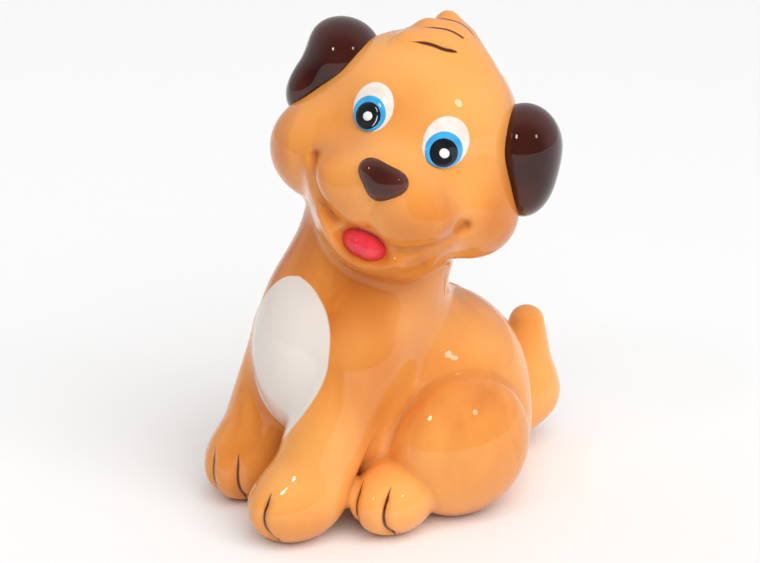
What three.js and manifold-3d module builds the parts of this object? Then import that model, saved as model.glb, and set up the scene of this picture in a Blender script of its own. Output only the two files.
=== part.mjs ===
// Figural animal coin bank: a slip-cast, glazed ceramic puppy that sits with its head turned and tilted.
// The fired shell is hollow. Coins go in through a slot in the back and come out of a round hole in the
// flat underside, which a rubber stopper closes. Millimetres, +Z up, the chest faces -Y.
import * as THREE from 'three';
import { mergeVertices } from 'three/addons/utils/BufferGeometryUtils.js';
import Module from 'manifold-3d';

const wasm = await Module();
wasm.setup();

// ---- driving dimensions (mm, degrees) ----
const WALL = 5;            // thickness of the cast wall
const GAP = 0.3;           // clearance left between two neighbouring pieces
const FLOOR_Z = 11;        // top of the base floor
const RECESS_DEPTH = 5;    // the underside is hollowed so that the stopper's flange is clear of the table
const RECESS_R = 24.5;
const BASE_Y = 25;         // the middle of the base, stopper and hole
const HOLE_R = 18;
const SLOT_WIDTH = 5;
const SLOT_LENGTH = 34;
const SLOT_DEPTH = 40;
const SLOT_MIDDLE = [0, 55, 59];
const SLOT_SLOPE = 43;     // how far the slot's length leans from the horizontal

const PLUG_R = 17.72;
const PLUG_TOP_R = 17.3;
const FLANGE_R = 21.5;
const FLANGE_THICK = 1.5;
const PLUG_TOP_Z = 12.2;
const DISH_R = 13.5;
const DISH_TOP_Z = 9.6;
const WEB_THICK = 2.6;
const WEB_BOTTOM_Z = 2.2;

// the head is its own frame: it faces -Y, then tips, nods and turns about the top of the neck
const HEAD_AT = [9.9, 13.8, 120.2];
const HEAD_TURN = 47;
const HEAD_NOD = -11.5;
const HEAD_TILT = 23.5;
const EYE_X = 12.5;
const EYE_Z = 11;
const EYE_LEAN = 10;       // the tops of both eyes lean to the puppy's right
const EYE_RISE = 1.5;      // how far an eye stands out of the face

const COLOUR = {
  caramel: 0xe6964a, chestnut: 0x4a1c16, enamel: 0xf6f1ea, pink: 0xe2505a, rubber: 0x3a3836,
};

// ---- helpers ----
const rad = THREE.MathUtils.degToRad;

function asSolid(geometry) {
  const bare = geometry.clone();
  bare.deleteAttribute('normal');
  bare.deleteAttribute('uv');
  const merged = mergeVertices(bare, 1e-4);
  return new wasm.Manifold(new wasm.Mesh({
    numProp: 3,
    vertProperties: new Float32Array(merged.attributes.position.array),
    triVerts: new Uint32Array(merged.index.array),
  }));
}

function asGeometry(solid) {
  const mesh = solid.getMesh();
  const geometry = new THREE.BufferGeometry();
  geometry.setAttribute('position', new THREE.BufferAttribute(new Float32Array(mesh.vertProperties), 3));
  geometry.setIndex(new THREE.BufferAttribute(new Uint32Array(mesh.triVerts), 1));
  geometry.computeVertexNormals();
  return geometry;
}

function join(solids) {
  return solids.reduce((all, one) => all.add(one));
}

// the head's place: tip about its own Y, then nod about X, then turn about Z
function headMatrix() {
  return new THREE.Matrix4().makeTranslation(...HEAD_AT)
    .multiply(new THREE.Matrix4().makeRotationZ(rad(HEAD_TURN)))
    .multiply(new THREE.Matrix4().makeRotationX(rad(HEAD_NOD)))
    .multiply(new THREE.Matrix4().makeRotationY(rad(HEAD_TILT)));
}

// ---- soft clay forms: each form is a distance function, negative inside ----
const V = (x, y, z) => new THREE.Vector3(x, y, z);

// an ellipsoid: middle, three radii, and a lean about Y or a turn about Z
function egg(middle, radii, { lean = 0, turn = 0 } = {}) {
  const at = V(...middle);
  const back = new THREE.Quaternion().setFromEuler(new THREE.Euler(0, rad(lean), rad(turn))).invert();
  const [rx, ry, rz] = radii;
  return (p) => {
    const q = p.clone().sub(at).applyQuaternion(back);
    const near = Math.hypot(q.x / rx, q.y / ry, q.z / rz);
    const steep = Math.hypot(q.x / rx ** 2, q.y / ry ** 2, q.z / rz ** 2);
    return steep < 1e-9 ? -Math.min(rx, ry, rz) : near * (near - 1) / steep;
  };
}

// a round-ended limb that tapers from one ball to another
function limb(from, fromR, to, toR) {
  const start = V(...from);
  const along = V(...to).sub(start);
  const length = along.length();
  along.normalize();
  const slope = (fromR - toR) / length;
  return (p) => {
    const q = p.clone().sub(start);
    const h = q.dot(along);
    const off = Math.sqrt(Math.max(0, q.lengthSq() - h * h));
    const t = THREE.MathUtils.clamp(h - off * slope / Math.sqrt(1 - slope * slope), 0, length);
    return Math.hypot(h - t, off) - (fromR - slope * t);
  };
}

// forms pressed together: the seam between two of them is filled to a radius of about the blend
function blend(width, forms) {
  return (p) => forms.map((form) => form(p)).reduce((a, b) => {
    const h = Math.max(width - Math.abs(a - b), 0) / width;
    return Math.min(a, b) - h * h * width / 4;
  });
}

// the skin of a form, seen from a middle point: a sphere whose every vertex is moved out to the form
function skin(form, middle, { grow = 0, cols = 28, rows = 18, reach = 110, frame = null } = {}) {
  const ball = new THREE.SphereGeometry(1, cols, rows);
  ball.rotateX(Math.PI / 2);
  const at = V(...middle);
  const spots = ball.attributes.position;
  for (let i = 0; i < spots.count; i++) {
    const ray = V(spots.getX(i), spots.getY(i), spots.getZ(i)).normalize();
    const depth = (r) => form(at.clone().addScaledVector(ray, r)) - grow;
    let out = reach;
    while (out > 1 && depth(out - 1) > 0) out -= 1;
    let [low, high] = [out - 1, out];
    for (let k = 0; k < 16; k++) {
      const half = (low + high) / 2;
      if (depth(half) > 0) high = half; else low = half;
    }
    spots.setXYZ(i, at.x + ray.x * low, at.y + ray.y * low, at.z + ray.z * low);
  }
  if (frame) ball.applyMatrix4(frame);
  return asSolid(ball);
}

function upright(profile, y, round = 56) {
  const lathe = new THREE.LatheGeometry(profile.map(([r, z]) => new THREE.Vector2(r, z)), round);
  lathe.rotateX(Math.PI / 2);
  lathe.translate(0, y, 0);
  return asSolid(lathe);
}

function block(sizes, middle) {
  const box = new THREE.BoxGeometry(...sizes);
  box.translate(...middle);
  return asSolid(box);
}

const belowTable = () => block([400, 400, 100], [0, 0, -50]);

// ---- the cast torso ----
const torsoForm = blend(12, [
  egg([0, 26, 33.5], [38, 40, 36.5]), egg([0, 25, 15], [38, 40, 30]), egg([0, -7, 55], [25, 29, 35]),
  limb([1, 4, 74], 26, [5, 13, 110], 26),
]);
const shoulderForm = (side) => blend(8, [
  egg([17 * side, -6, 60], [13.5, 16, 24]), limb([17 * side, -12, 54], 15, [17.5 * side, -29, 18], 13),
]);
const haunchForm = (side) => egg([31 * side, 21, 24], [20.5, 26, 25.5]);
const PAWS = {
  leftFore: { at: [17.5, -36, 11.6], radii: [13.5, 15.5, 12.2], turn: -4 },
  rightFore: { at: [-18.5, -33, 12], radii: [13, 15, 12.4], turn: 30 },
  leftHind: { at: [31, -5.5, 11], radii: [13.2, 17, 11.7], turn: 22 },
  rightHind: { at: [-31, -5.5, 11], radii: [13.2, 17, 11.7], turn: -22 },
};

const torso = (grow, cols = 44, rows = 30) => skin(torsoForm, [0, 14, 50], { grow, cols, rows });

function torsoOutside(grow = 0) {
  const limbs = [-1, 1].flatMap((side) => [
    skin(haunchForm(side), [31 * side, 21, 24], { grow, cols: 28, rows: 16, reach: 50 }),
    skin(shoulderForm(side), [17 * side, -18, 42], { grow, cols: 24, rows: 22, reach: 60 }),
  ]);
  const paws = Object.values(PAWS).map(({ at, radii, turn }) => (
    skin(egg(at, radii, { turn }), at, { grow, cols: 24, rows: 14, reach: 40 })));
  return join([torso(grow), ...limbs, ...paws]);
}

// the hollow inside the torso, flat where it meets the base floor
function torsoHollow() {
  return torso(-WALL, 26, 16).subtract(block([400, 400, 100], [0, 0, FLOOR_Z - 50]));
}

const neckBore = () => skin(limb([2, 7, 88], 25 - WALL, [5, 12, 110], 24 - WALL), [4, 10, 99],
  { cols: 24, rows: 16, reach: 50 });

function coinSlot() {
  const slot = new THREE.BoxGeometry(SLOT_WIDTH, SLOT_LENGTH, SLOT_DEPTH);
  slot.rotateX(rad(-SLOT_SLOPE));
  slot.translate(...SLOT_MIDDLE);
  return asSolid(slot);
}

function baseOpenings() {
  const recess = upright([[0, -5], [RECESS_R, -5], [RECESS_R, RECESS_DEPTH], [0, RECESS_DEPTH]], BASE_Y);
  const hole = upright([[0, -1], [HOLE_R, -1], [HOLE_R, FLOOR_Z + 6], [0, FLOOR_Z + 6]], BASE_Y);
  return recess.add(hole);
}

function bodyCasting() {
  return torsoOutside()
    .subtract(torsoHollow())
    .subtract(neckBore())
    .subtract(headOutside(GAP))
    .subtract(belowTable())
    .subtract(baseOpenings())
    .subtract(coinSlot());
}

// ---- the cast head, in its own frame ----
const headForm = blend(10, [
  egg([0, 4, 8], [33.5, 33, 32.5]), egg([24, -2, -7.5], [19, 20, 16.5]), egg([-23.5, -2, -10], [18.5, 20, 17]),
  egg([4.5, -17, -24], [22, 15, 14.5]), egg([11.5, -25, -13], [16, 15, 12]),
  egg([-6.5, -25, -13], [16, 15, 12]), egg([1, -29, -5], [11, 13, 9]),
]);
const inHead = (form, middle, options) => skin(form, middle, { ...options, frame: headMatrix() });
const headOutside = (grow = 0) => inHead(headForm, [0, -4, -2], { grow, cols: 50, rows: 34 });

const mouthForm = egg([2.5, -34, -28.2], [9.5, 8, 4.8]);
const mouthHollow = (grow = 0) => inHead(mouthForm, [2.5, -34, -28.2], { grow, cols: 24, rows: 14, reach: 30 });

// the hollow inside the head keeps a full wall behind the mouth
function headHollow() {
  return inHead(headForm, [0, -4, -2], { grow: -WALL, cols: 26, rows: 18 }).subtract(mouthHollow(WALL - 1));
}

function headCasting() {
  return headOutside().subtract(headHollow()).subtract(neckBore()).subtract(mouthHollow());
}

const EARS = {
  left: [egg([34.5, 4, 17], [12, 17, 13]), egg([40.5, 2, 6], [7.5, 12, 9]), egg([31, 3, 23], [7, 11, 7])],
  right: [egg([-31, 4, 18], [12, 17, 13]), egg([-37.5, 2, 5], [7, 12, 9]), egg([-34.5, 4, 23], [8, 11, 6])],
};

function ear(name, middleX) {
  const flap = blend(8, EARS[name]);
  return inHead(flap, [middleX, 4, 14], { cols: 28, rows: 20, reach: 40 }).subtract(headOutside(GAP));
}

// three locks of hair that sweep to the puppy's right over a low crown, each with its tip free
const LOCKS = [
  { root: [-2, -8, 34], rootR: 6, tip: [-12.5, -10, 33], tipR: 3.2 },
  { root: [-2, -2, 37.5], rootR: 6.5, tip: [-9.5, -3, 38.8], tipR: 3.6 },
  { root: [-1, 4, 38.5], rootR: 7, tip: [-5.5, 3, 43.3], tipR: 4 },
];

function forelock() {
  const crown = inHead(egg([0, 0, 33], [13, 13, 9]), [0, 0, 33], { cols: 26, rows: 16, reach: 30 });
  const locks = LOCKS.map(({ root, rootR, tip, tipR }) => (
    inHead(limb(root, rootR, tip, tipR), root, { cols: 24, rows: 16, reach: 30 })));
  return join([crown, ...locks]).subtract(headOutside(GAP));
}

function nose() {
  const pad = blend(5, [
    egg([-3, -40, -5.2], [4.5, 4.6, 3.9]), egg([4.4, -40, -5.4], [4.5, 4.6, 3.9]),
    egg([1.2, -39.5, -8.8], [4.2, 4.4, 4.2]),
  ]);
  return inHead(pad, [1, -40, -6.5], { cols: 26, rows: 18, reach: 20 }).subtract(headOutside(GAP));
}

function eye(side) {
  const middle = [EYE_X * side, -24, EYE_Z];
  const outline = egg(middle, [6.6, 16, 7.7], { lean: -EYE_LEAN });
  return inHead(outline, middle, { cols: 26, rows: 16, reach: 30 })
    .intersect(headOutside(EYE_RISE)).subtract(headOutside(GAP));
}

function tongue() {
  const middle = [3, -28.8, -28.6];
  return inHead(egg(middle, [7.2, 6, 4.1]), middle, { cols: 24, rows: 14, reach: 20 })
    .intersect(mouthHollow(-GAP));
}

function tail() {
  const root = skin(limb([0, 58, 10], 14, [0, 74, 20], 13), [0, 68, 17], { cols: 24, rows: 16, reach: 40 });
  const tip = skin(limb([0, 74, 20], 13, [-1, 76.5, 45], 6.5), [0, 75, 28], { cols: 24, rows: 18, reach: 40 });
  return root.add(tip).subtract(torsoOutside(GAP)).subtract(belowTable());
}

// ---- the rubber stopper ----
function stopper() {
  const seat = RECESS_DEPTH - GAP;
  const under = seat - FLANGE_THICK;
  const body = upright([
    [0, under], [FLANGE_R - 0.5, under], [FLANGE_R, under + 0.5], [FLANGE_R, seat - 0.4],
    [FLANGE_R - 0.4, seat], [PLUG_R, seat], [PLUG_TOP_R, PLUG_TOP_Z - 0.8], [PLUG_TOP_R - 0.8, PLUG_TOP_Z],
    [0, PLUG_TOP_Z],
  ], BASE_Y);
  const dish = upright([[0, 0], [DISH_R + 1, 0], [DISH_R, DISH_TOP_Z - 1], [DISH_R - 1, DISH_TOP_Z],
    [0, DISH_TOP_Z]], BASE_Y, 40);
  const height = DISH_TOP_Z + 1 - WEB_BOTTOM_Z;
  const web = block([WEB_THICK, 2 * DISH_R + 1.2, height], [0, BASE_Y, WEB_BOTTOM_Z + height / 2]);
  return body.subtract(dish).add(web);
}

// ---- the assembly ----
const assembly = new THREE.Group();
assembly.name = 'figural_animal_coin_bank';

function addPiece(name, solid, color, roughness) {
  const mesh = new THREE.Mesh(asGeometry(solid), new THREE.MeshStandardMaterial({
    color, roughness, metalness: 0 }));
  mesh.name = name;
  assembly.add(mesh);
}

addPiece('body_casting', bodyCasting(), COLOUR.caramel, 0.2);
addPiece('head_casting', headCasting(), COLOUR.caramel, 0.2);
addPiece('left_ear', ear('left', 37), COLOUR.chestnut, 0.2);
addPiece('right_ear', ear('right', -34), COLOUR.chestnut, 0.2);
addPiece('forelock', forelock(), COLOUR.caramel, 0.2);
addPiece('tail', tail(), COLOUR.caramel, 0.2);
addPiece('nose', nose(), COLOUR.chestnut, 0.15);
addPiece('left_eye', eye(1), COLOUR.enamel, 0.15);
addPiece('right_eye', eye(-1), COLOUR.enamel, 0.15);
addPiece('tongue', tongue(), COLOUR.pink, 0.2);
addPiece('base_stopper', stopper(), COLOUR.rubber, 0.7);

// the origin is the middle of the underside's bounding box
const whole = new THREE.Box3().setFromObject(assembly);
const middle = whole.getCenter(new THREE.Vector3());
for (const piece of assembly.children) piece.geometry.translate(-middle.x, -middle.y, -whole.min.z);

export default assembly;
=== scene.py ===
# %% [markdown]
# # A glazed puppy that keeps coins
# The real thing is slip-cast: liquid clay is poured into a plaster mould, a wall of about 5 mm sets
# against the plaster, and the rest is poured out. Ears, tail and hair are stuck on with slip while the
# clay is soft, so every joint is a soft crease. It is painted with a brush, dipped in clear glaze and
# fired. This script loads the measured model as a frame and makes every visible surface around it, one
# cell at a time.

# %% The frame
from math import cos, pi, radians, sin

import bpy
import numpy as np
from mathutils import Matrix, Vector


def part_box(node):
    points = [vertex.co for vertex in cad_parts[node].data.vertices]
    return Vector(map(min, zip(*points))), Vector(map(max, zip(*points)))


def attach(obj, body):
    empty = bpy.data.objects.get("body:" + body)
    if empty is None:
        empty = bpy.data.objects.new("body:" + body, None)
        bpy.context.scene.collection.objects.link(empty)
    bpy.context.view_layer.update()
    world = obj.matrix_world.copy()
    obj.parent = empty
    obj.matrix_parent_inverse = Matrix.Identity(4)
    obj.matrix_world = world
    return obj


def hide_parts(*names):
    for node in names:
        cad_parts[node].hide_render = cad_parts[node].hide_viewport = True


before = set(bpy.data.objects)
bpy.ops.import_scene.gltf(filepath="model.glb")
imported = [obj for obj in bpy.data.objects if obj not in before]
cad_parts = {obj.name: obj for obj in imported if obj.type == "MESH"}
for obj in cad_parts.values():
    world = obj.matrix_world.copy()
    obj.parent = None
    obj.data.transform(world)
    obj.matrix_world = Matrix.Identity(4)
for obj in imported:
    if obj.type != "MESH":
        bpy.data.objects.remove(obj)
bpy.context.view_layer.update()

# %% [markdown]
# ## One set of axes for the whole puppy
# A potter thinks in millimetres from the middle of the puppy's back, with the table at zero. The frame's
# origin is the middle of its box instead. The stopper sits on the puppy's own middle line, so its box
# gives the shift from one to the other, and every surface is worked out in the potter's axes and moved at
# the very end.

# %% Sizes that the frame gives and the clay keeps
stopper_low, stopper_high = (np.array(corner) * 1000 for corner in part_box("base_stopper"))
BASE_Y = 25.0                        # from the puppy's zero back to the middle of its underside
TO_FRAME = (stopper_low + stopper_high) / 2 * [1, 1, 0] - [0, BASE_Y, 0]
WALL = 5.0
FLOOR_Z = 11.0
RECESS_R, RECESS_DEPTH, HOLE_R = 24.5, 5.0, 18.0
NECK_BORE = ((2, 7, 88), 25 - WALL, (5, 12, 110), 24 - WALL)
SLOT_MIDDLE, SLOT_SLOPE, SLOT_WIDTH, SLOT_LENGTH = (0, 55, 59), 43, 5.0, 34.0
print("shift to the frame in mm", TO_FRAME.round(2))

# %% [markdown]
# ## Clay as distance
# Soft clay has no edges to draw, so each lump is described by how far a point is from its skin: negative
# inside, positive outside. Two lumps pressed together are the smaller of the two distances, and a smooth
# minimum fills the crease between them, as a wet finger does. Subdivided boxes could be pushed into such
# a shape by hand, but then every crease would need its own edges. Here a crease is one number, its width.

# %% Lumps of clay
def turning(axis, degrees):
    """The matrix of a turn about one axis."""
    c, s = cos(radians(degrees)), sin(radians(degrees))
    return np.array({"x": [[1, 0, 0], [0, c, -s], [0, s, c]],
                     "y": [[c, 0, s], [0, 1, 0], [-s, 0, c]],
                     "z": [[c, -s, 0], [s, c, 0], [0, 0, 1]]}[axis])


def egg(points, middle, radii, turned=None):
    """An ellipsoid. With k the length of the point over the radii, and g the length of the point over the
    radii squared, the distance is close to k (k - 1) / g, and is exact on the skin. In the very middle,
    where g is nothing, it is the shortest radius."""
    away = points - np.array(middle, float)
    if turned is not None:
        away = away @ turned
    radii = np.array(radii, float)
    k = np.sqrt(((away / radii) ** 2).sum(-1))
    g = np.sqrt(((away / radii ** 2) ** 2).sum(-1))
    return np.where(g > 1e-6, k * (k - 1) / np.maximum(g, 1e-6), -radii.min())


def limb(points, start, start_radius, end, end_radius):
    """A limb with round ends. The nearest ball along it has its middle where a line at right angles to the
    tapered side meets the axis, and the distance is the length to that middle less that ball's radius."""
    start, end = np.array(start, float), np.array(end, float)
    length = np.linalg.norm(end - start)
    along = (end - start) / length
    away = points - start
    height = away @ along
    off = np.sqrt(np.maximum((away ** 2).sum(-1) - height ** 2, 0))
    slope = (start_radius - end_radius) / length
    ball = np.clip(height - off * slope / np.sqrt(1 - slope ** 2), 0, length)
    return np.hypot(height - ball, off) - (start_radius - slope * ball)


def pressed(width, *lumps):
    """Lumps pressed together: the smallest distance, less h^2 width / 4 where two are within the width,
    with h the share of the width that is left."""
    joined = lumps[0]
    for lump in lumps[1:]:
        h = np.maximum(width - np.abs(joined - lump), 0) / width
        joined = np.minimum(joined, lump) - h * h * width / 4
    return joined


def cut(width, lump, tool):
    """The lump with the tool taken out of it, and the edge rounded over the width: pressed() turned inside
    out."""
    return -pressed(width, -lump, tool)


def ramp(values, low, high):
    """0 below low, 1 above high, and 3 t^2 - 2 t^3 between them."""
    t = np.clip((values - low) / (high - low), 0, 1)
    return t * t * (3 - 2 * t)


def ridge(away, width):
    """A bell curve, 1 where away is 0: exp(-(away / width)^2)."""
    return np.exp(-(away / width) ** 2)


one_egg = egg(np.array([[10.0, 0, 0], [0, 0, 7.0]]), (0, 0, 0), (10, 8, 6))
print("an egg's skin is at", one_egg.round(2), "mm from its own widest point and from 1 mm above its top")

# %% [markdown]
# ## The sitting body
# A puppy on its haunches is a round rump and seat, a deep chest that leans back into the neck, two
# straight forelegs, two folded thighs that bulge from the flanks, and four paws. The wide widths below
# are where the clay was smoothed over, and the narrow ones leave the sharp crease that shows round each
# thigh.

# %% Torso, legs and paws
def torso(p):
    rump = egg(p, (0, 26, 33.5), (38, 40, 36.5))
    seat = egg(p, (0, 25, 15), (38, 40, 30))
    chest = egg(p, (0, -7, 55), (25, 29, 35))
    neck = limb(p, (1, 4, 74), 26, (5, 13, 110), 26)
    return pressed(12, pressed(14, rump, seat), chest, neck)


def foreleg(p, side):
    shoulder = egg(p, (17 * side, -6, 60), (13.5, 16, 24))
    return pressed(8, shoulder, limb(p, (17 * side, -12, 54), 15, (17.5 * side, -29, 18), 13))


def thigh(p, side):
    return egg(p, (31 * side, 21, 24), (20.5, 26, 25.5))


PAWS = {
    "left_fore": {"at": (17.5, -36, 11.6), "radii": (13.5, 15.5, 12.2), "turn": -4, "toe": 4.8, "seam": 7},
    "right_fore": {"at": (-18.5, -33, 12.0), "radii": (13, 15, 12.4), "turn": 30, "toe": 4.8, "seam": 7},
    "left_hind": {"at": (31, -5.5, 11.0), "radii": (13.2, 17, 11.7), "turn": 22, "toe": 5.2, "seam": 2.5},
    "right_hind": {"at": (-31, -5.5, 11.0), "radii": (13.2, 17, 11.7), "turn": -22, "toe": 5.2, "seam": 2.5},
}


def toe_lines(p, paw):
    """The signed distance from the nearer of a paw's two toe lines, and how much of the groove is there:
    all of it on the front of the paw, none on its sole or on top of the foot."""
    q = (p - np.array(paw["at"], float)) @ turning("z", paw["turn"])
    nearer = np.where(q[:, 0] > 0, q[:, 0] - paw["toe"], q[:, 0] + paw["toe"])
    there = ramp(-q[:, 1], 4, 9) * ramp(q[:, 2], -10.5, -7) * ramp(-q[:, 2], -9, -4)
    return nearer, there


def foot(p, paw):
    across, there = toe_lines(p, paw)
    return egg(p, paw["at"], paw["radii"], turning("z", paw["turn"])) + 1.5 * ridge(across, 1.7) * there


def body_outside(p):
    body = torso(p)
    for side in (1, -1):
        body = pressed(4.5, body, foreleg(p, side))
        leg = thigh(p, side)
        seam = ridge(body - leg, 2.2) * ramp(p[:, 2], 20, 34)    # a finger's groove over the top of the thigh
        body = pressed(2, body, leg) + 0.9 * seam
    for paw in PAWS.values():
        body = pressed(paw["seam"], body, foot(p, paw))
    return body


print("rump to table at the middle line:", torso(np.array([[0, 25, 0.0]])).round(2)[0], "mm inside the clay")

# %% [markdown]
# ## The head and its smile
# The head is made upright on its own axes, then tipped, nodded and turned on the neck, as the modeller
# did. Its skin is a round skull, two full cheeks, a jaw and two muzzle lobes. The smile isn't a separate
# piece: it is a groove pressed along a curve, so the distance grows by a bell curve of the distance to
# that line.

# %% Where the head sits
HEAD_AT = np.array([9.9, 13.8, 120.2])
HEAD_TURN = turning("z", 47) @ turning("x", -11.5) @ turning("y", 23.5)


def on_head(p):
    """Points in the head's own axes: it faces -Y."""
    return (p - HEAD_AT) @ HEAD_TURN


def off_head(q):
    return q @ HEAD_TURN.T + HEAD_AT


def curve_through(stops, steps=6):
    """A smooth curve through a few stops. Between two of them it is the cubic that leaves each stop in the
    direction from the stop before it to the stop after it."""
    stops = np.array(stops, float)
    ends = np.vstack([2 * stops[0] - stops[1], stops, 2 * stops[-1] - stops[-2]])
    a, b, c, d = (ends[i:len(ends) - 3 + i, None] for i in range(4))
    t = np.linspace(0, 1, steps, endpoint=False)[None, :, None]
    curve = 0.5 * (2 * b + (c - a) * t + (2 * a - 5 * b + 4 * c - d) * t ** 2
                   + (3 * b - a - 3 * c + d) * t ** 3)
    return np.vstack([curve.reshape(-1, stops.shape[1]), stops[-1]])


def away_from(curve, q):
    """The distance across the face, in x and z only, from a curve made of short straight steps."""
    nearest = np.full(len(q), 1e9)
    for start, end in zip(curve[:-1], curve[1:]):
        step = end - start
        share = np.clip(((q[:, ::2] - start) @ step) / (step @ step), 0, 1)
        nearest = np.minimum(nearest, np.linalg.norm(q[:, ::2] - start - share[:, None] * step, axis=1))
    return nearest


SMILE = curve_through([(-23, -10.5), (-20, -16), (-14.5, -21), (-8.5, -24.3), (-2, -24.8), (2.8, -22.8),
                       (8, -24.8), (15, -23.8), (22, -19), (26, -14), (28.5, -10)])
LOWER_LIP = curve_through([(-13, -25.5), (-8, -30.5), (-2, -34.2), (4, -35.2), (10, -33.4), (15.5, -29.5)])
SMILE_ENDS = [(-23.5, -11), (28.5, -11)]
smile_length = np.linalg.norm(np.diff(SMILE, axis=0), axis=1).sum()
print("the smile is", len(SMILE) - 1, "short steps and", round(smile_length), "mm long")

# %% Skull, cheeks, muzzle and mouth
def bare_head(q):
    skull = egg(q, (0, 4, 8), (33.5, 33, 32.5))
    cheeks = pressed(12, skull, egg(q, (24, -2, -7.5), (19, 20, 16.5)),
                     egg(q, (-23.5, -2, -10), (18.5, 20, 17)))
    jaw = egg(q, (4.5, -17, -24), (22, 15, 14.5))
    lobes = pressed(10, egg(q, (11.5, -25, -13), (16, 15, 12)), egg(q, (-6.5, -25, -13), (16, 15, 12)))
    return pressed(9, pressed(10, cheeks, jaw), pressed(8, lobes, egg(q, (1, -29, -5), (11, 13, 9))))


def head_outside(q):
    front = ramp(-q[:, 1], 0, 10)
    head = bare_head(q) + 1.5 * ridge(away_from(SMILE, q), 2.0) * front
    head = head - 2.4 * ridge(away_from(LOWER_LIP, q), 2.3) * front
    for x, z in SMILE_ENDS:
        head = head + 0.4 * ridge(np.hypot(q[:, 0] - x, q[:, 2] - z), 3.5) * front
    lip_split = ridge(q[:, 0] - 2.3, 1.6) * ramp(-q[:, 2], 10, 14) * ramp(q[:, 2], -26, -22)
    return cut(2.0, head + 0.5 * lip_split * front, egg(q, (2.8, -34, -28.3), (9.2, 8.5, 4.9)))


print("the bare skull is", bare_head(np.array([[0, 0, 0.0]])).round(1)[0], "mm deep at the head's own zero")

# %% [markdown]
# ## From distance to surface
# A surface is laid over a lump in two moves. First a net: space is cut into small cubes, each cube that
# holds both inside and outside corners gets one point, and the cubes round every edge that crosses the
# skin become a four sided face. Then each point slides along the slope of the distance until the distance
# is zero, so the net lies exactly on the clay. Marching cubes would also do it, but it leaves slivers,
# and slivers show in a mirror glaze.

# %% The net and how it settles
def slope_of(form, p, reach=0.05):
    """The direction in which the distance grows, from a small step each way along x, y and z."""
    steps = np.eye(3) * reach
    return np.stack([form(p + step) - form(p - step) for step in steps], -1) / (2 * reach)


def net_over(form, low, high, cell):
    """Points and four-sided faces of the skin of a form inside a box, with cubes of one size."""
    axes = [np.arange(a, b + cell, cell) for a, b in zip(low, high)]
    shape = tuple(len(axis) for axis in axes)
    grid = np.stack(np.meshgrid(*axes, indexing="ij"), -1).reshape(-1, 3)
    parts = np.array_split(grid, 1 + len(grid) // 200000)
    level = np.concatenate([form(part) for part in parts]).reshape(shape)
    within = level < 0
    corner = [(i, j, k) for i in (0, 1) for j in (0, 1) for k in (0, 1)]
    cube = tuple(n - 1 for n in shape)
    view = lambda field, i, j, k: field[i:i + cube[0], j:j + cube[1], k:k + cube[2]]
    count = sum(view(within, *c).astype(int) for c in corner)
    mixed = (count > 0) & (count < 8)
    number = np.full(cube, -1)
    number[mixed] = np.arange(mixed.sum())

    total, crossings = np.zeros((mixed.sum(), 3)), np.zeros(mixed.sum())
    for a in corner:
        for axis in range(3):
            if a[axis]:
                continue
            b = tuple(n + (m == axis) for m, n in enumerate(a))
            level_a, level_b = view(level, *a)[mixed], view(level, *b)[mixed]
            crosses = (level_a < 0) != (level_b < 0)
            share = np.where(crosses, level_a / np.where(crosses, level_a - level_b, 1), 0)
            spot = np.array(a, float) + share[:, None] * np.eye(3)[axis]
            total += spot * crosses[:, None]
            crossings += crosses
    points = (np.argwhere(mixed) + total / crossings[:, None]) * cell + np.array(low, float)

    faces = []
    for axis in range(3):
        u, v = (axis + 1) % 3, (axis + 2) % 3
        near = [slice(None)] * 3
        far = [slice(None)] * 3
        near[axis], far[axis] = slice(None, -1), slice(1, None)
        crosses = within[tuple(near)] != within[tuple(far)]
        where = np.argwhere(crosses)
        where = where[(where[:, u] > 0) & (where[:, v] > 0)
                      & (where[:, u] < cube[u]) & (where[:, v] < cube[v])]
        outward = within[tuple(near)][tuple(where.T)]
        around = []
        for du, dv in ((1, 1), (0, 1), (0, 0), (1, 0)):
            cell_at = where.copy()
            cell_at[:, u] -= du
            cell_at[:, v] -= dv
            around.append(number[tuple(cell_at.T)])
        quads = np.stack(around, 1)
        faces.append(np.where(outward[:, None], quads, quads[:, ::-1]))
    return points, np.vstack(faces)


def settle(form, points, cell, rounds=4):
    """Each point moves by the distance over the length of the slope, against the slope, and never past half
    a cube in one round."""
    for _ in range(rounds):
        slope = slope_of(form, points)
        steep = np.maximum((slope ** 2).sum(-1), 0.05)
        move = slope * (form(points) / steep)[:, None]
        long = np.linalg.norm(move, axis=1) / (cell / 2)
        points = points - move / np.maximum(long, 1)[:, None]
    return points


def skin_of(form, low, high, cell):
    points, faces = net_over(form, low, high, cell)
    return settle(form, points, cell), faces


ball_points, ball_faces = skin_of(lambda p: egg(p, (0, 0, 0), (10, 10, 10)), (-12,) * 3, (12,) * 3, 1.0)
ball_radii = np.linalg.norm(ball_points, axis=1)
print("a test ball of 10 mm:", len(ball_faces), "faces, radius", ball_radii.min().round(3), "to",
      ball_radii.max().round(3))

# %% [markdown]
# ## Handing a surface to Blender
# foreach_set fills a mesh from flat arrays, which is far quicker than adding points one by one. A mirror
# glaze shows any wobble between faces, so each point also gets the true normal of the clay. What a brush
# later needs to know, such as how far a point is from the edge of the chest patch, rides along as a named
# number on each point.

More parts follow.
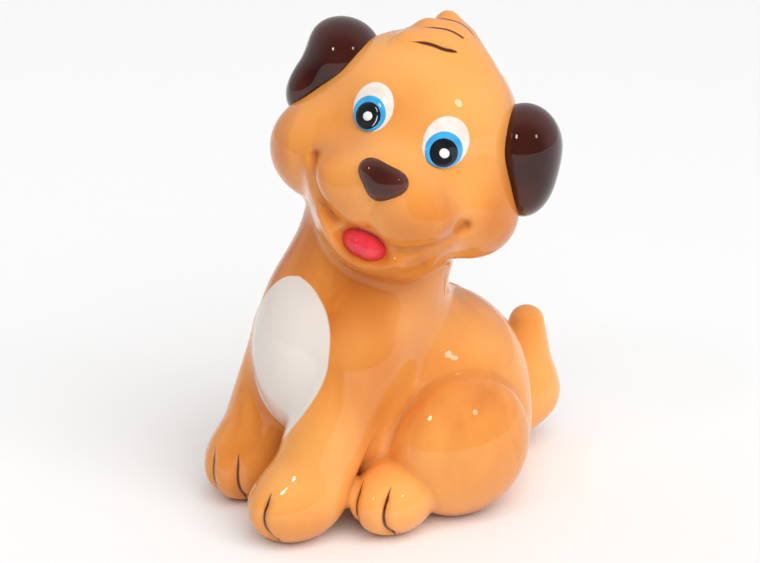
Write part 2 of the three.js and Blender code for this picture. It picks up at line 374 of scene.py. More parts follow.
# %% A piece from arrays
def make_piece(name, points, faces, material, body="figure", replaces=(), slot=None, normals=None, **paint):
    """A mesh from points in mm on the puppy's axes. Faces with four equal-length rows of numbers are quads,
    and a quad whose last two numbers are the same is a triangle."""
    mesh = bpy.data.meshes.new(name)
    placed = (points + TO_FRAME) / 1000
    mesh.vertices.add(len(placed))
    mesh.vertices.foreach_set("co", placed.astype(np.float32).ravel())
    three = faces[:, 2] == faces[:, 3]
    sides = np.where(three, 3, 4)
    keep = np.ones(faces.shape, bool)
    keep[three, 3] = False
    mesh.loops.add(int(sides.sum()))
    mesh.loops.foreach_set("vertex_index", faces[keep].astype(np.int32))
    mesh.polygons.add(len(faces))
    mesh.polygons.foreach_set("loop_start", np.concatenate([[0], np.cumsum(sides)[:-1]]).astype(np.int32))
    mesh.update(calc_edges=True)
    mesh.polygons.foreach_set("use_smooth", np.ones(len(faces), bool))
    for label, values in paint.items():
        mesh.attributes.new(label, "FLOAT", "POINT").data.foreach_set("value", values.astype(np.float32))
    if normals is not None:
        mesh.normals_split_custom_set_from_vertices(normals.tolist())
    mesh.validate()
    mesh.materials.append(material)
    made = bpy.data.objects.new(name, mesh)
    bpy.context.scene.collection.objects.link(made)
    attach(made, body)
    if replaces:
        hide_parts(*replaces)
    size = (points.max(0) - points.min(0)).round(1)
    print(f"{name}: {len(points)} points, {len(faces)} faces, {size[0]} x {size[1]} x {size[2]} mm")
    return made


def normals_of(form, points):
    slope = slope_of(form, points)
    return slope / np.maximum(np.linalg.norm(slope, axis=1), 1e-9)[:, None]


def pinch_of(form, points, reach=1.3):
    """How hollow the skin is: the distance at six points round a spot, less six times the distance there.
    It is above zero on a ball and below zero in a crease."""
    steps = np.vstack([np.eye(3), -np.eye(3)]) * reach
    return sum(form(points + step) for step in steps) / reach ** 2 - 6 * form(points) / reach ** 2


# %% [markdown]
# ## Glaze
# The colour lies under the glass: caramel stain brushed on in uneven strokes, lighter and yellower towards
# the top and the front of the head, and darker in every crease, where painted shade joins the stain that
# gathered there. Over it is clear glaze, smooth as water, that reflects the room more towards the edges. In
# the shader that is a Principled surface with a full coat. The strokes are long noise, and the painted shade
# in the creases comes from the number that pinch_of() left on each point.

# %% Small helpers for shader nodes
def new_material(name):
    material = bpy.data.materials.new(name)
    material.use_nodes = True
    nodes, links = material.node_tree.nodes, material.node_tree.links
    shader = nodes["Principled BSDF"]
    return material, nodes, links, shader


def add_node(nodes, kind, settings=None, **sockets):
    node = nodes.new(kind)
    for key, value in (settings or {}).items():
        setattr(node, key, value)
    for key, value in sockets.items():
        node.inputs[key.replace("_", " ")].default_value = value
    return node


def attribute_of(nodes, name):
    return add_node(nodes, "ShaderNodeAttribute", {"attribute_name": name}).outputs["Fac"]


def mapped(nodes, links, source, low, high, to_low=0.0, to_high=1.0, kind="LINEAR"):
    node = add_node(nodes, "ShaderNodeMapRange", {"interpolation_type": kind})
    for slot, value in zip(("From Min", "From Max", "To Min", "To Max"), (low, high, to_low, to_high)):
        node.inputs[slot].default_value = value
    links.new(source, node.inputs["Value"])
    return node.outputs["Result"]


def mixed(nodes, links, share, first, second, blend="MIX"):
    """Two colours mixed by a share. Each colour is a socket or a plain colour."""
    node = add_node(nodes, "ShaderNodeMix", {"data_type": "RGBA", "blend_type": blend, "clamp_factor": True})
    for key, colour in ((6, first), (7, second)):
        if isinstance(colour, tuple):
            node.inputs[key].default_value = (*colour, 1)
        else:
            links.new(colour, node.inputs[key])
    if isinstance(share, float):
        node.inputs[0].default_value = share
    else:
        links.new(share, node.inputs[0])
    return node.outputs[2]


def noise(nodes, links, scale, detail=3.0, roughness=0.5, stretch=(1, 1, 1), turn=(0, 0, 0), distortion=0.0):
    """Cloudy noise in metres on the object, stretched into strokes where asked."""
    place = add_node(nodes, "ShaderNodeTexCoord")
    mapping = add_node(nodes, "ShaderNodeMapping", Scale=stretch, Rotation=tuple(radians(n) for n in turn))
    cloud = add_node(nodes, "ShaderNodeTexNoise", Scale=scale, Detail=detail, Roughness=roughness,
                     Distortion=distortion)
    links.new(place.outputs["Object"], mapping.inputs["Vector"])
    links.new(mapping.outputs["Vector"], cloud.inputs["Vector"])
    return cloud.outputs["Fac"]


def glass_over(shader, roughness=0.3, coat_roughness=0.03):
    """Clear glaze: a full coat over paint that has no shine of its own, because glass wets it."""
    shader.inputs["Roughness"].default_value = roughness
    shader.inputs["Coat Weight"].default_value = 1.0
    shader.inputs["Coat Roughness"].default_value = coat_roughness
    shader.inputs["Coat IOR"].default_value = 1.5
    shader.inputs["Specular IOR Level"].default_value = 0.0


def ripple(nodes, links, shader, height=0.00012, scale=90.0):
    """The slow waves that glaze sets in, on the coat and the colour alike."""
    bump = add_node(nodes, "ShaderNodeBump", Strength=1.0, Distance=height)
    links.new(noise(nodes, links, scale, detail=1.0), bump.inputs["Height"])
    links.new(bump.outputs["Normal"], shader.inputs["Normal"])
    links.new(bump.outputs["Normal"], shader.inputs["Coat Normal"])


# %% Caramel, with the patch, the painted lines, painted shade in the creases and bare clay where no glaze is
CARAMEL = (0.79, 0.285, 0.052)
CARAMEL_LIGHT = (0.91, 0.40, 0.105)
CARAMEL_DEEP = (0.60, 0.165, 0.022)
CREASE_SHADE = (0.50, 0.14, 0.024)
LINE_BROWN = (0.10, 0.018, 0.009)
PATCH_WHITE = (0.78, 0.70, 0.64)
BARE_CLAY = (0.72, 0.62, 0.52)


def caramel_glaze():
    material, nodes, links, shader = new_material("brushed_caramel_glaze")
    strokes = noise(nodes, links, 38.0, detail=4.0, stretch=(1, 1, 0.38), turn=(12, 20, 8), distortion=0.6)
    clouds = noise(nodes, links, 16.0, detail=2.0)
    colour = mixed(nodes, links, mapped(nodes, links, strokes, 0.42, 0.64), CARAMEL, CARAMEL_DEEP)
    colour = mixed(nodes, links, mapped(nodes, links, clouds, 0.42, 0.66), colour, CARAMEL_LIGHT)
    colour = mixed(nodes, links, attribute_of(nodes, "pale"), colour, CARAMEL_LIGHT)
    # Painted shade: the colour is mixed towards a deep brown in every hollow, by how hollow the skin is, and
    # part of that is stain that gathered there.
    crease = mapped(nodes, links, attribute_of(nodes, "pinch"), -0.05, -1.2)
    colour = mixed(nodes, links, crease, colour, CREASE_SHADE)
    patch = mapped(nodes, links, attribute_of(nodes, "patch"), 0.25, -0.25)
    colour = mixed(nodes, links, patch, colour, PATCH_WHITE)
    across = add_node(nodes, "ShaderNodeMath", {"operation": "ABSOLUTE"})
    links.new(attribute_of(nodes, "line_across"), across.inputs[0])
    inside_line = add_node(nodes, "ShaderNodeMath", {"operation": "SUBTRACT"})
    links.new(attribute_of(nodes, "line_width"), inside_line.inputs[0])
    links.new(across.outputs[0], inside_line.inputs[1])
    line = mapped(nodes, links, inside_line.outputs[0], -0.18, 0.12)
    colour = mixed(nodes, links, line, colour, LINE_BROWN)
    bare = mapped(nodes, links, attribute_of(nodes, "bare"), 0.35, 0.65)
    colour = mixed(nodes, links, bare, colour, BARE_CLAY)
    links.new(colour, shader.inputs["Base Color"])
    glass_over(shader)
    links.new(mapped(nodes, links, bare, 0, 1, 0.3, 0.85), shader.inputs["Roughness"])
    links.new(mapped(nodes, links, bare, 0, 1, 1.0, 0.0), shader.inputs["Coat Weight"])
    ripple(nodes, links, shader)
    return material


CARAMEL_GLAZE = caramel_glaze()
print("caramel glaze:", len(CARAMEL_GLAZE.node_tree.nodes), "nodes")

# %% [markdown]
# ## Casting the body
# The body casting is the outside less the hollow, the slot in the back, the round hole with its recess
# underneath, and the part of the neck that the head covers. Where the head meets the neck the clay was
# smoothed with slip, so the body carries that fillet: it is pressed against the head's distance and then
# cut off just under its skin.

# %% Hollow, slot, foot and collar
def hollow(p):
    """The space inside: the torso less its wall, above the floor, and the bore up the neck."""
    belly = np.maximum(torso(p) + WALL, FLOOR_Z - p[:, 2])
    return pressed(4, belly, limb(p, *NECK_BORE))


def coin_slot(p):
    """A long box with rounded ends, square to the back: in its own axes the distance is to a thin core,
    less the radius of its ends."""
    q = (p - np.array(SLOT_MIDDLE, float)) @ turning("x", -SLOT_SLOPE)
    end = SLOT_WIDTH / 2 - 0.1
    side = np.maximum(np.abs(q[:, 0]) - SLOT_WIDTH / 2 + end, 0)
    long = np.maximum(np.abs(q[:, 1]) - SLOT_LENGTH / 2 + end, 0)
    return np.maximum(np.hypot(side, long) - end, np.abs(q[:, 2]) - 20)


def underside(p):
    """The recess and the hole, both round the middle of the base."""
    out = np.hypot(p[:, 0], p[:, 1] - BASE_Y)
    recess = np.maximum(out - RECESS_R, p[:, 2] - RECESS_DEPTH)
    return np.minimum(recess, np.maximum(out - HOLE_R, p[:, 2] - FLOOR_Z - 6))


COLLAR_FILLET, COLLAR_REACH, COLLAR_UNDER, COLLAR_TOP = 4.5, 6, 2.6, 121


def body_casting(p):
    """The outside with its collar, less the hollow and the openings. The collar is filleted to the head, kept
    within its reach of the neck and below its top, and cut off where it lies deep under the head's skin."""
    outside = body_outside(p)
    head = bare_head(on_head(p))
    body = np.maximum(pressed(COLLAR_FILLET, outside, head + 0.15), outside - COLLAR_REACH)
    body = np.maximum(np.maximum(body, -(head + COLLAR_UNDER)), p[:, 2] - COLLAR_TOP)
    body = cut(1.6, body, p[:, 2])
    body = np.maximum(body, -hollow(p))
    body = cut(1.0, body, underside(p))
    return cut(1.6, body, coin_slot(p))


# %% Paint on the body
PATCH_MIDDLE_X, PATCH_HALF, PATCH_WIDEST_Z, PATCH_ABOVE, PATCH_BELOW = 5, 18, 58, 26, 33


def chest_patch(p):
    """A leaf on the chest. Its half width is w = b sqrt(1 - s^1.6) above its widest place and b (1 - s^2)
    below it, with b the half width there and s the share of the way to the tip. The number is how far x is
    outside."""
    rise = (p[:, 2] - PATCH_WIDEST_Z) / np.where(p[:, 2] > PATCH_WIDEST_Z, PATCH_ABOVE, PATCH_BELOW)
    above = np.sqrt(np.maximum(1 - np.clip(rise, 0, 1) ** 1.6, 0))
    below = 1 - np.clip(-rise, 0, None) ** 2
    width = PATCH_HALF * np.where(rise > 0, above, below) - 40 * np.clip(rise - 1, 0, None)
    return np.maximum(np.abs(p[:, 0] - PATCH_MIDDLE_X) - width, p[:, 1] + 4)


def toe_paint(p):
    """For each point, the signed distance from the nearest toe line and half the brush's width there."""
    across, width = np.full(len(p), 5.0), np.full(len(p), -1.0)
    for paw in PAWS.values():
        from_line, there = toe_lines(p, paw)
        near = (np.abs(from_line) < 2.4) & (egg(p, paw["at"], paw["radii"]) < 3) & (there > 0)
        across = np.where(near, from_line, across)
        width = np.where(near, 0.42 * there ** 0.5 - 0.05, width)
    return across, width


def paint_of(outside, p, bare, across=None, width=None, patch=None, pale=None):
    """The numbers that the caramel glaze reads, for one piece."""
    flat = np.zeros(len(p))
    return {"pinch": pinch_of(outside, p), "bare": bare.astype(float),
            "line_across": flat + 5 if across is None else across,
            "line_width": flat - 1 if width is None else width,
            "patch": flat + 5 if patch is None else patch, "pale": flat if pale is None else pale}


BODY_CELL = 1.12
body_points, body_faces = skin_of(body_casting, (-54, -54, -2.2), (54, 69, 124), BODY_CELL)
body_bare = (body_outside(body_points) < -1.6) | (body_points[:, 2] < 0.35)
toe_across, toe_width = toe_paint(body_points)
make_piece("body_shell", body_points, body_faces, CARAMEL_GLAZE, replaces=["body_casting"],
           slot="caramel_glaze", normals=normals_of(body_casting, body_points),
           **paint_of(body_casting, body_points, body_bare, toe_across, toe_width, chest_patch(body_points)))

# %% [markdown]
# ## Casting the head
# The head is hollow too, and open to the neck so that coins can spill through when the bank is turned
# over. It is netted finer than the body, because the smile, the lips and the mouth are only a few
# millimetres across.

# %% The head shell
def head_hollow(q):
    return np.maximum(bare_head(q) + WALL, -egg(q, (2.8, -34, -28.3), (13.2, 12.5, 8.9)))


def head_casting(p):
    q = on_head(p)
    return np.maximum(head_outside(q), -pressed(3, head_hollow(q), limb(p, *NECK_BORE)))


def pale_brow(q):
    """Lighter and yellower towards the top and the front of the head, over the forehead and the muzzle."""
    return 0.55 * ramp(q[:, 2], 14, 34) * ramp(-q[:, 1], -14, 16)


HEAD_CELL = 0.82
head_low, head_high = HEAD_AT - 50, HEAD_AT + 48
head_points, head_faces = skin_of(head_casting, head_low, head_high, HEAD_CELL)
head_local = on_head(head_points)
make_piece("head_shell", head_points, head_faces, CARAMEL_GLAZE, replaces=["head_casting"],
           slot="caramel_glaze", normals=normals_of(head_casting, head_points),
           **paint_of(head_casting, head_points, bare_head(head_local) < -3.4, pale=pale_brow(head_local)))

# %% [markdown]
# ## Chestnut ears and nose
# The ears are folded flaps, thick at the fold and thinner at the tip, and the nose is a soft
# three-cornered pad. All three are the same chestnut stain, so dark that the glaze over it shows mostly
# as reflections. Each is one lump that is cut where the head begins, which leaves the thin dark line that
# a stuck-on piece has.

# %% Chestnut glaze, ears and nose
def chestnut_glaze():
    material, nodes, links, shader = new_material("chestnut_glaze")
    clouds = noise(nodes, links, 60.0, detail=3.0)
    colour = mixed(nodes, links, mapped(nodes, links, clouds, 0.35, 0.7), (0.028, 0.0030, 0.0018),
                   (0.052, 0.0070, 0.0040))
    # Painted sheen: the rounded ridges are mixed towards a lighter brown by how rounded the skin is, and part
    # of that is the stain running thinner there.
    thin = mapped(nodes, links, attribute_of(nodes, "pinch"), 0.10, 0.42)
    colour = mixed(nodes, links, thin, colour, (0.085, 0.018, 0.010))
    links.new(colour, shader.inputs["Base Color"])
    glass_over(shader, roughness=0.25, coat_roughness=0.02)
    ripple(nodes, links, shader, height=0.0001, scale=110.0)
    return material


CHESTNUT_GLAZE = chestnut_glaze()
EARS = {
    "left": [((34.5, 4, 17), (12, 17, 13)), ((40.5, 2, 6), (7.5, 12, 9)), ((31, 3, 23), (7, 11, 7))],
    "right": [((-31, 4, 18), (12, 17, 13)), ((-37.5, 2, 5), (7, 12, 9)), ((-34.5, 4, 23), (8, 11, 6))],
}


def ear(q, side):
    return pressed(8, *(egg(q, middle, size) for middle, size in EARS[side]))


def nose(q):
    return pressed(5, egg(q, (-3, -40, -5.2), (4.5, 4.6, 3.9)), egg(q, (4.4, -40, -5.4), (4.5, 4.6, 3.9)),
                   egg(q, (1.2, -39.5, -8.8), (4.2, 4.4, 4.2)))


def stuck_on(lump, sunk=0.6):
    """A lump on the head, cut off a little under the head's skin."""
    return lambda p: cut(0.8, lump(on_head(p)), head_outside(on_head(p)) + sunk)


def make_head_lump(name, lump, node, material, slot, cell):
    low, high = (np.array(corner) * 1000 - TO_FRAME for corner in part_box(node))
    form = stuck_on(lump)
    points, faces = skin_of(form, low - 4, high + 4, cell)
    pinch = pinch_of(lambda p: lump(on_head(p)), points)
    return make_piece(name, points, faces, material, replaces=[node], slot=slot,
                      normals=normals_of(form, points), pinch=pinch)


make_head_lump("ear_left", lambda q: ear(q, "left"), "left_ear", CHESTNUT_GLAZE, "chestnut_glaze", 0.7)
make_head_lump("ear_right", lambda q: ear(q, "right"), "right_ear", CHESTNUT_GLAZE, "chestnut_glaze", 0.7)
make_head_lump("nose_pad", nose, "nose", CHESTNUT_GLAZE, "chestnut_glaze", 0.3)

# %% [markdown]
# ## The tongue
# A small pink cushion that lies in the mouth, behind the lower lip. It is wetter and brighter than
# anything else on the puppy, and the brush left it a little darker down its middle.

# %% Pink glaze and tongue
def pink_glaze():
    material, nodes, links, shader = new_material("pink_glaze")
    clouds = noise(nodes, links, 140.0, detail=2.0)
    colour = mixed(nodes, links, mapped(nodes, links, clouds, 0.35, 0.7), (0.86, 0.052, 0.075),
                   (0.74, 0.030, 0.050))
    links.new(colour, shader.inputs["Base Color"])
    glass_over(shader, roughness=0.3, coat_roughness=0.03)
    ripple(nodes, links, shader, height=0.0001, scale=160.0)
    return material


PINK_GLAZE = pink_glaze()


def tongue(q):
    groove = 0.5 * ridge(q[:, 0] - 3.2, 1.4) * ramp(-q[:, 1], 28, 32)
    return egg(q, (3.2, -27.0, -28.4), (7.6, 6.6, 4.6)) + groove


def tongue_in_mouth(p):
    q = on_head(p)
    return np.maximum(tongue(q), -(bare_head(q) + 9.5))


tongue_low, tongue_high = (np.array(corner) * 1000 - TO_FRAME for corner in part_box("tongue"))
tongue_points, tongue_faces = skin_of(tongue_in_mouth, tongue_low - 4, tongue_high + 4, 0.4)
make_piece("tongue_cushion", tongue_points, tongue_faces, PINK_GLAZE, replaces=["tongue"], slot="pink_glaze",
           normals=normals_of(tongue_in_mouth, tongue_points))

# %% [markdown]
# ## Hair and tail
# The three locks on the crown and the tail are the same caramel as the body, and a finger ran round each
# of them with slip. So each piece carries its own fillet, like the collar: it is pressed against the
# distance of what it sits on, and kept only near itself. The painter ran a thin brown line along each
# valley between the locks.

# %% Locks of hair
LOCKS = [
    {"root": (-2, -8, 34), "root_r": 6.0, "tip": (-12.5, -10, 33), "tip_r": 3.2},
    {"root": (-2, -2, 37.5), "root_r": 6.5, "tip": (-9.5, -3, 38.8), "tip_r": 3.6},
    {"root": (-1, 4, 38.5), "root_r": 7.0, "tip": (-5.5, 3, 43.3), "tip_r": 4.0},
]


def locks_of_hair(q):
    return [limb(q, lock["root"], lock["root_r"], lock["tip"], lock["tip_r"]) for lock in LOCKS]


def hair(q):
    return pressed(5, pressed(2.5, *locks_of_hair(q)), egg(q, (0, 0, 33), (13, 13, 9)))


def hair_on_head(p):
    q = on_head(p)
    head, locks = head_outside(q), hair(q)
    form = np.maximum(pressed(6, locks, head + 0.12), locks - 6)
    return np.maximum(form, -(head + 1.2))


def hair_lines(q):
    """Signed distance from the valleys: the difference of two neighbouring locks' distances, or of the
    lowest lock and the head. The brush is widest in the middle of a lock and lifts off at both ends."""
    first, second, third = locks_of_hair(q)
    head = bare_head(q)
    valleys = [first - head - 0.6, first - second, second - third]
    near = [np.abs(first) + np.abs(head), np.abs(first) + np.abs(second), np.abs(second) + np.abs(third)]
    front = [q[:, 2] < 37, q[:, 1] < 0, q[:, 1] < 6]
    across, width = np.full(len(q), 5.0), np.full(len(q), -1.0)
    for valley, together, side in zip(valleys, near, front):
        here = (np.abs(valley) < 2.2) & (together < 5) & side
        across = np.where(here, valley, across)
        stroke = ramp(q[:, 0], -13, -7) * ramp(-q[:, 0], -6, -2)
        width = np.where(here, 0.55 * stroke - 0.1, width)
    return across, width


hair_low, hair_high = (np.array(corner) * 1000 - TO_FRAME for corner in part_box("forelock"))
hair_points, hair_faces = skin_of(hair_on_head, hair_low - 11, hair_high + 9, 0.5)
hair_across, hair_width = hair_lines(on_head(hair_points))
# The locks are lighter and yellower all over, like the top of the head.
make_piece("hair_locks", hair_points, hair_faces, CARAMEL_GLAZE, replaces=["forelock"], slot="caramel_glaze",
           normals=normals_of(hair_on_head, hair_points),
           **paint_of(hair_on_head, hair_points, hair_points[:, 2] < 0, hair_across, hair_width,
                      pale=0.4 + 0 * hair_across))

# %% Tail
def tail(p):
    root = limb(p, (0, 58, 10), 14, (0, 74, 20), 13)
    return pressed(5, root, limb(p, (0, 74, 20), 13, (-1, 76.5, 45), 6.5))


def tail_on_body(p):
    body = body_outside(p)
    form = np.maximum(pressed(3, tail(p), body + 0.12), tail(p) - 4)
    form = np.maximum(form, -(body + 2.0))
    return cut(1.6, form, p[:, 2])


tail_low, tail_high = (np.array(corner) * 1000 - TO_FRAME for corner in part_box("tail"))
tail_points, tail_faces = skin_of(tail_on_body, tail_low - [5, 7, 2], tail_high + 5, 0.8)
make_piece("tail_curl", tail_points, tail_faces, CARAMEL_GLAZE, replaces=["tail"], slot="caramel_glaze",
           normals=normals_of(tail_on_body, tail_points),
           **paint_of(tail_on_body, tail_points, tail_points[:, 2] < 0.35))

# %% [markdown]
# ## Painted eyes
# Each eye is four layers of thick enamel: white, blue, black and a white dot. Enamel stands proud with a
# rounded rim, so each layer is a low lens wrapped on the face. A lens is a function of two numbers, the
# angle and the share of the way to the rim. The face's own distance finds the skin under each point, and
# the lens stands on it.

# %% Enamel lenses
def face_under(x, z):
    """The skin of the head under points across the face, found by halving the gap between a point in front
    of it and a point inside it."""
    front, inside = np.full(x.shape, -60.0), np.full(x.shape, -15.0)
    for _ in range(22):
        half = (front + inside) / 2
        outside = bare_head(np.stack([x, half, z], -1)) > 0
        front, inside = np.where(outside, half, front), np.where(outside, inside, half)
    return np.stack([x, front, z], -1)


def lens(middle, radii, lean, foot_height, height, rings=26, spokes=96, square=7.0):
    """Closed lens: at share s of the way out and angle t, the place is the middle plus (s rx cos t, s rz
    sin t) turned by the lean, and the height is foot + rise sqrt(1 - s^n) with a large n for a flat top.
    The underside is the same grid, half a millimetre under its foot."""
    share = np.sin(np.linspace(0, pi / 2, rings + 1))[1:, None]
    angle = np.linspace(0, 2 * pi, spokes, endpoint=False)[None, :]
    x, z = share * radii[0] * np.cos(angle), share * radii[1] * np.sin(angle)
    c, s = cos(radians(lean)), sin(radians(lean))
    x, z = middle[0] + x * c - z * s, middle[1] + x * s + z * c
    x, z = np.append(x.ravel(), middle[0]), np.append(z.ravel(), middle[1])
    skin = face_under(x, z)
    normal = normals_of(bare_head, skin)
    rise = np.append(np.repeat(np.sqrt(np.maximum(1 - share[:, 0] ** square, 0)), spokes), 1.0)
    top = skin + normal * (foot_height + (height - foot_height) * rise)[:, None]
    under = skin + normal * (foot_height - 0.5)
    count = rings * spokes + 1
    number = np.arange(rings * spokes).reshape(rings, spokes)
    beside = np.roll(number, -1, 1)
    walls = np.stack([number[:-1], number[1:], beside[1:], beside[:-1]], -1).reshape(-1, 4)
    tip = np.full(spokes, count - 1)
    caps = np.stack([tip, number[0], beside[0], beside[0]], -1)
    rim = np.stack([number[-1], number[-1] + count, beside[-1] + count, beside[-1]], -1)
    front = np.vstack([walls, caps])
    back = front[:, [1, 0, 3, 2]] + count
    back_caps = np.stack([tip, beside[0], number[0], number[0]], -1) + count
    return np.vstack([top, under]), np.vstack([front, back[:len(walls)], back_caps, rim])


def enamel(name, colour, darker):
    material, nodes, links, shader = new_material(name)
    clouds = noise(nodes, links, 260.0, detail=2.0)
    tone = mixed(nodes, links, mapped(nodes, links, clouds, 0.35, 0.7), colour, darker)
    links.new(tone, shader.inputs["Base Color"])
    glass_over(shader, roughness=0.2, coat_roughness=0.02)
    ripple(nodes, links, shader, height=0.00006, scale=220.0)
    return material


ENAMEL = {
    "white": enamel("white_enamel", (0.86, 0.80, 0.74), (0.78, 0.68, 0.60)),
    "blue": enamel("sky_blue_enamel", (0.055, 0.42, 0.80), (0.035, 0.33, 0.70)),
    "black": enamel("black_enamel", (0.006, 0.007, 0.009), (0.012, 0.014, 0.018)),
    "dot": enamel("dot_enamel", (0.90, 0.87, 0.84), (0.84, 0.80, 0.76)),
}
EYES = {
    "left": {"at": (12.4, 10.9), "scale": 1.05, "lean": 10},
    "right": {"at": (-12.6, 11.0), "scale": 1.0, "lean": 10},
}
LAYERS = {
    "white": {"shift": (0, 0), "radii": (6.6, 7.7), "from": -0.2, "to": 0.9},
    "blue": {"shift": (-0.2, -2.2), "radii": (5.3, 5.5), "from": 0.6, "to": 1.2},
    "black": {"shift": (-0.2, -3.1), "radii": (4.1, 4.4), "from": 0.9, "to": 1.45},
    "dot": {"shift": (-0.1, -3.3), "radii": (1.55, 1.6), "from": 1.2, "to": 1.75},
}

for side, eye in EYES.items():
    for layer, spec in LAYERS.items():
        c, s, size = cos(radians(eye["lean"])), sin(radians(eye["lean"])), eye["scale"]
        dx, dz = (size * n for n in spec["shift"])
        middle = (eye["at"][0] + dx * c - dz * s, eye["at"][1] + dx * s + dz * c)
        points, faces = lens(middle, [size * n for n in spec["radii"]], eye["lean"], spec["from"], spec["to"],
                             square=3.0 if layer == "dot" else 7.0)
        made = make_piece(f"eye_{side}_{layer}", off_head(points), faces, ENAMEL[layer],
                          replaces=[f"{side}_eye"] if layer == "white" else (),
                          slot="white_glaze" if layer in ("white", "dot") else None)

# %% [markdown]
# ## The rubber stopper
# The plug is moulded in one go: a flange that lies in the recess, a slightly tapered plug, and a dish
# underneath with a web across it to pinch. It is a profile carried round its own axis, with every corner
# rounded, which a cylinder with a bevel would not give. The web is a rounded plate that sinks into the
# wall of the dish.

# %% Turned profile and web
PLUG_R, PLUG_TOP_R, FLANGE_R, FLANGE_THICK, PLUG_TOP_Z = 17.72, 17.3, 21.5, 1.5, 12.2
DISH_R, DISH_TOP_Z, WEB_THICK, WEB_BOTTOM_Z = 13.5, 9.6, 2.6, 2.2
FLANGE_TOP = RECESS_DEPTH - 0.3


def rounded(outline, radius, steps=5):
    """A closed outline in radius and height with each corner replaced by a small curve: the corner is pulled
    towards its neighbours as a quadratic between points a radius away on each side."""
    outline = np.array(outline, float)
    before, after = np.roll(outline, 1, 0), np.roll(outline, -1, 0)
    room = np.minimum(np.linalg.norm(before - outline, axis=1), np.linalg.norm(after - outline, axis=1)) * 0.45
    reach = np.minimum(radius, room)[:, None]
    unit = lambda v: v / np.linalg.norm(v, axis=1)[:, None]
    start, end = outline + unit(before - outline) * reach, outline + unit(after - outline) * reach
    on_axis = (outline[:, 0] == 0)[:, None]
    start, end = np.where(on_axis, outline, start), np.where(on_axis, outline, end)
    t = np.linspace(0, 1, steps)[None, :, None]
    curve = (1 - t) ** 2 * start[:, None] + 2 * t * (1 - t) * outline[:, None] + t ** 2 * end[:, None]
    return curve.reshape(-1, 2)


def turned(profile, spokes=160):
    """A profile that starts and ends on the axis, carried round it: x = r cos t, y = r sin t."""
    profile = profile[np.append(True, np.linalg.norm(np.diff(profile, axis=0), axis=1) > 1e-6)]
    angle = np.linspace(0, 2 * pi, spokes, endpoint=False)
    ring = profile[1:-1]
    points = np.stack([ring[:, :1] * np.cos(angle), BASE_Y + ring[:, :1] * np.sin(angle),
                       np.repeat(ring[:, 1:], spokes, 1)], -1).reshape(-1, 3)
    ends = np.array([[0, BASE_Y, profile[0, 1]], [0, BASE_Y, profile[-1, 1]]])
    number = np.arange(len(points)).reshape(len(ring), spokes)
    beside = np.roll(number, -1, 1)
    sides = np.stack([number[:-1], beside[:-1], beside[1:], number[1:]], -1).reshape(-1, 4)
    first, last = np.full(spokes, len(points)), np.full(spokes, len(points) + 1)
    start = np.stack([first, beside[0], number[0], number[0]], -1)
    finish = np.stack([last, number[-1], beside[-1], beside[-1]], -1)
    return np.vstack([points, ends]), np.vstack([sides, start, finish])


def stopper_rubber():
    material, nodes, links, shader = new_material("matt_stopper_rubber")
    clouds = noise(nodes, links, 300.0, detail=5.0)
    colour = mixed(nodes, links, mapped(nodes, links, clouds, 0.35, 0.7), (0.030, 0.028, 0.026),
                   (0.055, 0.052, 0.048))
    links.new(colour, shader.inputs["Base Color"])
    links.new(mapped(nodes, links, clouds, 0.3, 0.7, 0.45, 0.62), shader.inputs["Roughness"])
    bump = add_node(nodes, "ShaderNodeBump", Strength=0.6, Distance=0.00005)
    links.new(noise(nodes, links, 2600.0, detail=2.0), bump.inputs["Height"])
    links.new(bump.outputs["Normal"], shader.inputs["Normal"])
    return material


STOPPER_RUBBER = stopper_rubber()
under = FLANGE_TOP - FLANGE_THICK
plug_outline = rounded([
    (0, DISH_TOP_Z), (DISH_R - 0.6, DISH_TOP_Z), (DISH_R + 0.4, under), (FLANGE_R, under),
    (FLANGE_R, FLANGE_TOP),
    (PLUG_R - 0.35, FLANGE_TOP), (PLUG_R - 0.35, FLANGE_TOP + 0.9), (PLUG_R, FLANGE_TOP + 1.3),
    (PLUG_R - 0.1, FLANGE_TOP + 3.2), (PLUG_R - 0.5, FLANGE_TOP + 3.6), (PLUG_R - 0.2, FLANGE_TOP + 4.2),
    (PLUG_TOP_R, PLUG_TOP_Z - 1.0), (PLUG_TOP_R - 1.0, PLUG_TOP_Z), (0, PLUG_TOP_Z)], 0.45)
plug_points, plug_faces = turned(plug_outline)
make_piece("stopper_plug", plug_points, plug_faces, STOPPER_RUBBER, body="stopper", replaces=["base_stopper"],
           slot="stopper_rubber")


def web_plate(p):
    """A plate with rounded edges: the distance to a thinner plate less its rounding, waisted in the
    middle."""
    waist = 0.5 * ridge(p[:, 1] - BASE_Y, 6.0)
    half = np.array([WEB_THICK / 2, DISH_R + 0.9, (DISH_TOP_Z + 1 - WEB_BOTTOM_Z) / 2])
    away = np.abs(p - [0, BASE_Y, WEB_BOTTOM_Z + half[2]]) - half + 0.8
    away[:, 0] += waist
    return np.linalg.norm(np.maximum(away, 0), axis=1) + np.minimum(away.max(1), 0) - 0.8


web_points, web_faces = skin_of(web_plate, (-3, BASE_Y - 16, 1), (3, BASE_Y + 16, 12), 0.4)
make_piece("stopper_web", web_points, web_faces, STOPPER_RUBBER, body="stopper", slot="stopper_rubber",
           normals=normals_of(web_plate, web_points))

# %% [markdown]
# ## The studio
# A pale table and a white room that is dimmer on the side where the camera is first set up, so the glaze
# stays clear there and brightens towards its edges. The room stays where it is when the camera moves. One
# broad soft sun lights the paint and is kept out of the reflections. Two small round lamps leave the few
# sharp highlights.

# %% Table, room and lamps
VIEW_AZIMUTH, VIEW_ELEVATION = 55, 19                # degrees round from the chest and up from the table
AIM = Vector((np.array([4, 8, 75.5]) + TO_FRAME) / 1000)


def direction(azimuth, elevation):
    """A step of length one towards an azimuth from the puppy's front and an elevation above the table."""
    a, e = radians(azimuth), radians(elevation)
    return Vector((sin(a) * cos(e), -cos(a) * cos(e), sin(e)))


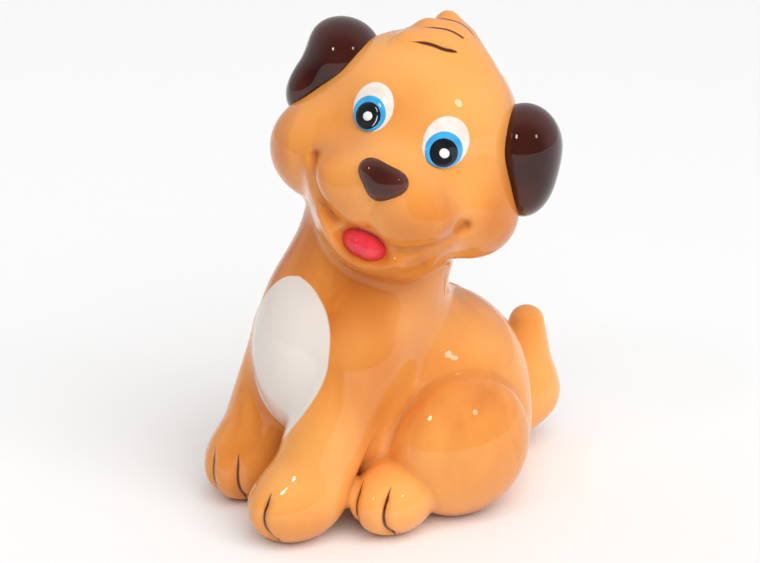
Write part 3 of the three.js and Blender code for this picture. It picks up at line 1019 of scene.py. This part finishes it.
def studio_floor():
    material, nodes, links, shader = new_material("pale_table")
    shader.inputs["Base Color"].default_value = (0.9, 0.9, 0.9, 1)
    shader.inputs["Roughness"].default_value = 0.9
    mesh = bpy.data.meshes.new("table")
    half = 6.0
    corners = [(-half, -half, 0), (half, -half, 0), (half, half, 0), (-half, half, 0)]
    mesh.from_pydata(corners, [], [(0, 1, 2, 3)])
    mesh.materials.append(material)
    table = bpy.data.objects.new("table", mesh)
    bpy.context.scene.collection.objects.link(table)


def white_room(front, back):
    """A white world whose strength goes from front to back, by the dot product of a direction with the level
    direction of the view azimuth."""
    world = bpy.data.worlds.new("white_room")
    world.use_nodes = True
    nodes, links = world.node_tree.nodes, world.node_tree.links
    nodes["Background"].inputs["Color"].default_value = (1, 1, 1, 1)
    facing = add_node(nodes, "ShaderNodeVectorMath", {"operation": "DOT_PRODUCT"})
    facing.inputs[1].default_value = direction(VIEW_AZIMUTH, 0)
    links.new(add_node(nodes, "ShaderNodeTexCoord").outputs["Generated"], facing.inputs[0])
    strength = mapped(nodes, links, facing.outputs["Value"], -0.3, 0.6, back, front, kind="SMOOTHSTEP")
    links.new(strength, nodes["Background"].inputs["Strength"])
    bpy.context.scene.world = world


def lamp(name, kind, azimuth, elevation, strength, distance=1.2, size=0.16):
    """A lamp that faces the puppy: a round panel of a size in metres, or a sun of an angle in degrees."""
    light = bpy.data.lights.new(name, kind)
    light.energy = strength
    if kind == "AREA":
        light.shape, light.size = "DISK", size
    else:
        light.angle = radians(size)
    made = bpy.data.objects.new(name, light)
    made.location = AIM + direction(azimuth, elevation) * distance
    made.rotation_mode = "QUATERNION"
    made.rotation_quaternion = direction(azimuth, elevation).to_track_quat("Z", "Y")
    bpy.context.scene.collection.objects.link(made)
    return made


bpy.context.scene.view_settings.view_transform = "Standard"
studio_floor()
white_room(0.15, 0.6)
lamp("soft_sun", "SUN", 80, 48, 2.7, size=70).visible_glossy = False
lamp("small_lamp_left", "AREA", 15, 44, 1.0)
lamp("small_lamp_right", "AREA", 112, 38, 0.5)

# %% Camera
CAMERA_DISTANCE, WIDTH_IN_VIEW = 0.56, 0.2533
camera_data = bpy.data.cameras.new("camera")
camera_data.lens = camera_data.sensor_width * CAMERA_DISTANCE / WIDTH_IN_VIEW
camera = bpy.data.objects.new("camera", camera_data)
bpy.context.scene.collection.objects.link(camera)
camera.location = AIM + direction(VIEW_AZIMUTH, VIEW_ELEVATION) * CAMERA_DISTANCE
camera.rotation_mode = "QUATERNION"
camera.rotation_quaternion = direction(VIEW_AZIMUTH, VIEW_ELEVATION).to_track_quat("Z", "Y")
bpy.context.scene.camera = camera
print("lens", round(camera_data.lens, 1), "mm")
